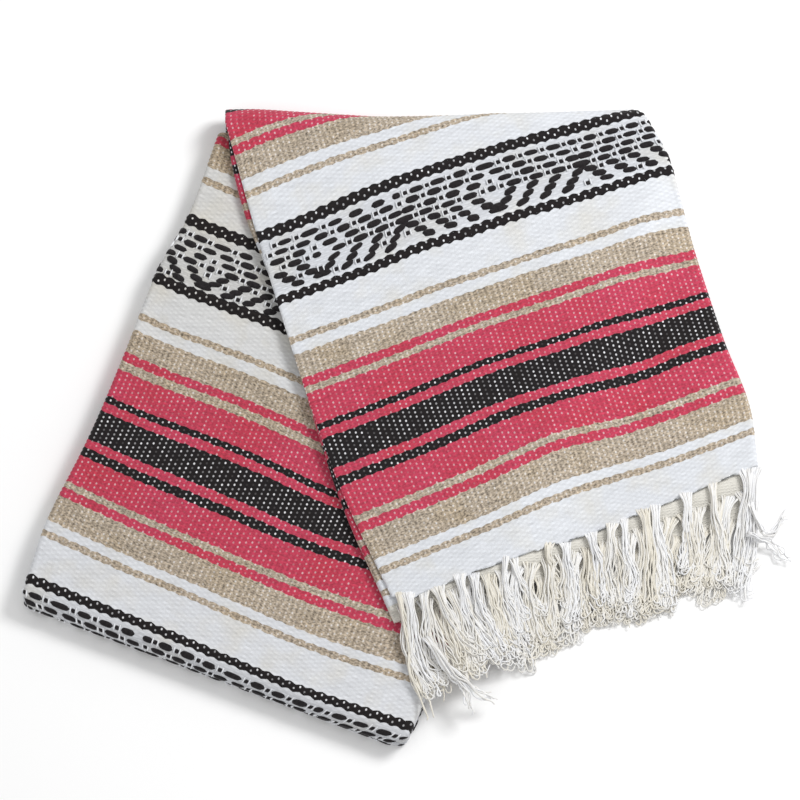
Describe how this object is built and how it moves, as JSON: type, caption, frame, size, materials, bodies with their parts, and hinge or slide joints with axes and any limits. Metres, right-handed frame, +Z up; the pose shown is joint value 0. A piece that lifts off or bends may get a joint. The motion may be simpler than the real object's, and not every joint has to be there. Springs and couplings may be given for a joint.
{
  "type": "folded mexican blanket",
  "caption": "Woven striped blanket folded lengthwise and laid in a flat fold, with a diamond band and loose fringe at the end of its front arm.",
  "frame": {"origin": "middle of the folded blanket's outline, on the surface it lies on", "axes": "+Z up out of the surface, +X to the right along the folded blanket's longest side, +Y towards the top fold"},
  "size_m": [0.7623, 0.6668, 0.0384],
  "materials": {
    "woven_cloth": "plain weave of soft spun yarn, striped in white, red, tan and black, matt with a faint nap",
    "hidden_cloth": "edges of the same striped weave, matt",
    "fringe_yarn": "loose twisted warp yarn, white with cream, matt"
  },
  "bodies": {
    "root": {"back_arm": "woven_cloth", "bottom_fold": "woven_cloth", "back_arm_layers": "hidden_cloth", "front_arm": "woven_cloth", "front_arm_layers": "hidden_cloth", "fringe_top": "fringe_yarn", "fringe_middle": "fringe_yarn", "fringe_bottom": "fringe_yarn"}
  },
  "joints": []
}
